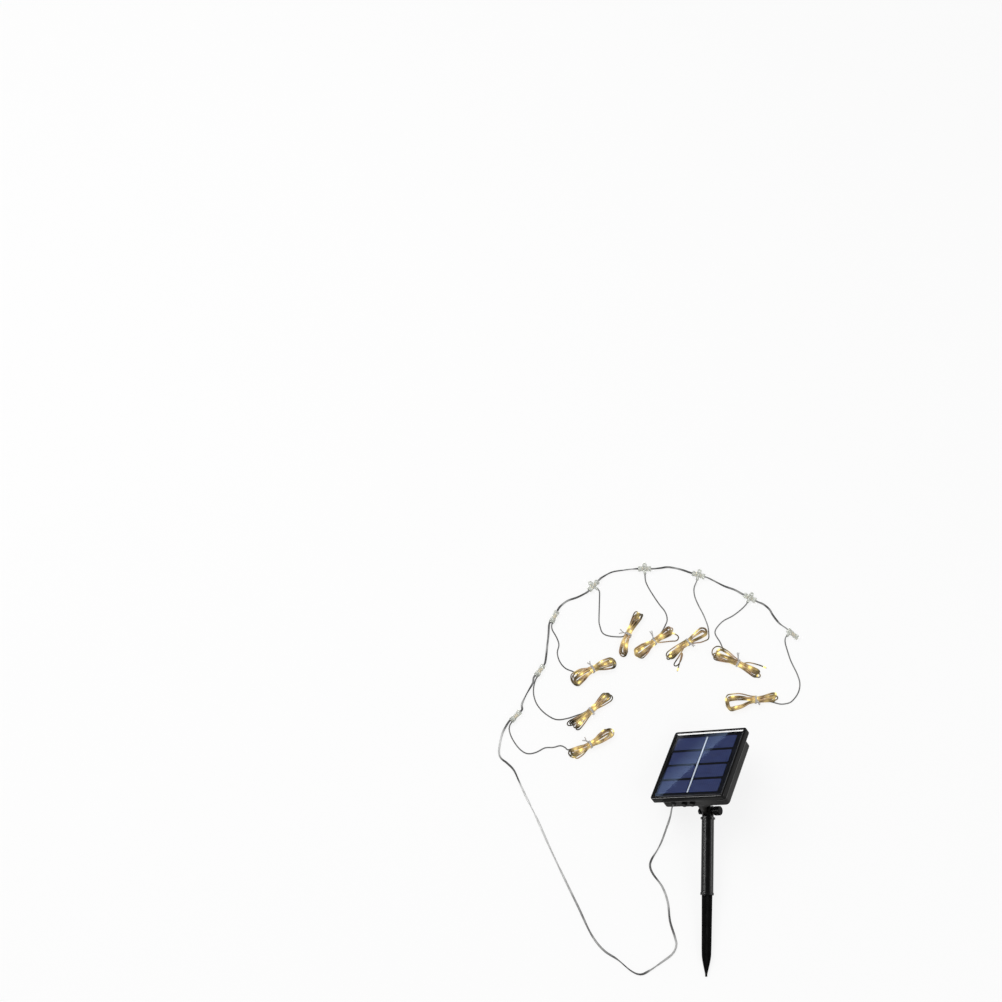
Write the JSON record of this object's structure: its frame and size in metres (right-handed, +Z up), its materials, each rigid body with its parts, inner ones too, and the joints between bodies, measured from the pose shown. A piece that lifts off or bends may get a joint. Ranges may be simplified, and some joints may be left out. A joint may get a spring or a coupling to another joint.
{
  "type": "parasol string lights",
  "caption": "Solar light set: tilting square panel head on a push-in stake, lead, ring cable with snap-in junctions, and light strands tied up as hanks.",
  "frame": {"origin": "centre of the base of the panel head with its stake, on the surface that the set lies on", "axes": "+Y along the stake from its point towards the panel head, +Z up from the surface, +X to the right of that"},
  "size_m": [0.406, 0.563, 0.1089],
  "materials": {
    "black_gloss": "gloss",
    "black_plastic": "satin",
    "window": "clear",
    "cell": "gloss",
    "ribbon": "tinned",
    "board_black": "matt",
    "board_green": "satin",
    "seal": "matt",
    "steel": "plated",
    "brass": "turned",
    "cell_wrap": "wrapped",
    "black_tube": "black anodised",
    "cable_clear": "clear jacket over two dark cores",
    "strand_clear": "clear jacket over bare wire",
    "hank_wire": "clear jacket over copper wire",
    "junction_clear": "frosted",
    "lit_bead": "lit warm white",
    "tie_clear": "frosted"
  },
  "bodies": {
    "head": {"bezel_frame": "black_gloss", "panel_glass": "window", "solar_cells": "cell", "bus_ribbon": "ribbon", "cell_board": "board_black", "housing_gasket": "seal", "rear_housing": "black_plastic", "housing_screws": "steel", "battery": "cell_wrap", "battery_tray": "black_plastic", "battery_contacts": "steel", "control_board": "board_green", "board_parts": "board_black", "tact_switches": "board_black", "cable_gland": "seal", "tilt_bracket": "black_plastic", "bracket_screws": "steel", "lead_cable": "cable_clear", "ring_cable_1": "cable_clear", "ring_cable_2": "cable_clear", "ring_cable_3": "cable_clear", "ring_cable_4": "cable_clear", "ring_cable_5": "cable_clear", "ring_cable_6": "cable_clear", "ring_cable_7": "cable_clear", "junction_1": "junction_clear", "junction_2": "junction_clear", "junction_3": "junction_clear", "junction_4": "junction_clear", "junction_5": "junction_clear", "junction_6": "junction_clear", "junction_7": "junction_clear", "junction_8": "junction_clear", "branch_1": "strand_clear", "branch_2": "strand_clear", "branch_3": "strand_clear", "branch_4": "strand_clear", "branch_5": "strand_clear", "branch_6": "strand_clear", "branch_7": "strand_clear", "branch_8": "strand_clear", "hank_1": "hank_wire", "hank_2": "hank_wire", "hank_3": "hank_wire", "hank_4": "hank_wire", "hank_5": "hank_wire", "hank_6": "hank_wire", "hank_7": "hank_wire", "hank_8": "hank_wire", "junction_splices": "brass", "led_beads": "lit_bead", "strand_ties": "tie_clear"},
    "fork": {"stake_fork": "black_plastic", "clamp_bolt": "steel"},
    "knob": {"clamp_knob": "black_plastic", "knob_insert": "brass"},
    "tube": {"stake_tube": "black_tube"},
    "spike": {"ground_spike": "black_plastic"},
    "power": {"power_button": "black_gloss"},
    "mode": {"mode_button": "black_gloss"}
  },
  "joints": [
    {"name": "tilt", "type": "hinge", "parent": "head", "child": "fork", "pos_m": [0.0115, 0.04617, 0.03388], "axis": [0.7771, -0.0984, 0.6216], "range_deg": [-31, 40]},
    {"name": "knob_turn", "type": "hinge", "parent": "fork", "child": "knob", "pos_m": [0.0115, 0.04617, 0.03388], "axis": [0.7771, -0.0984, 0.6216], "continuous": true},
    {"name": "swivel", "type": "hinge", "parent": "fork", "child": "tube", "pos_m": [0.0115, 0.04617, 0.03388], "axis": [0, 0.9877, 0.1564], "continuous": true},
    {"name": "spike_pull", "type": "slide", "parent": "tube", "child": "spike", "axis": [0, -0.9877, -0.1564], "range_m": [0, 0.019]},
    {"name": "power_press", "type": "slide", "parent": "head", "child": "power", "axis": [0.3241, 0.9092, -0.2612], "range_m": [0, 0.0012], "stiffness_N_per_m": 800, "springref_m": -0.0005},
    {"name": "mode_press", "type": "slide", "parent": "head", "child": "mode", "axis": [0.3241, 0.9092, -0.2612], "range_m": [0, 0.0012], "stiffness_N_per_m": 800, "springref_m": -0.0005}
  ]
}
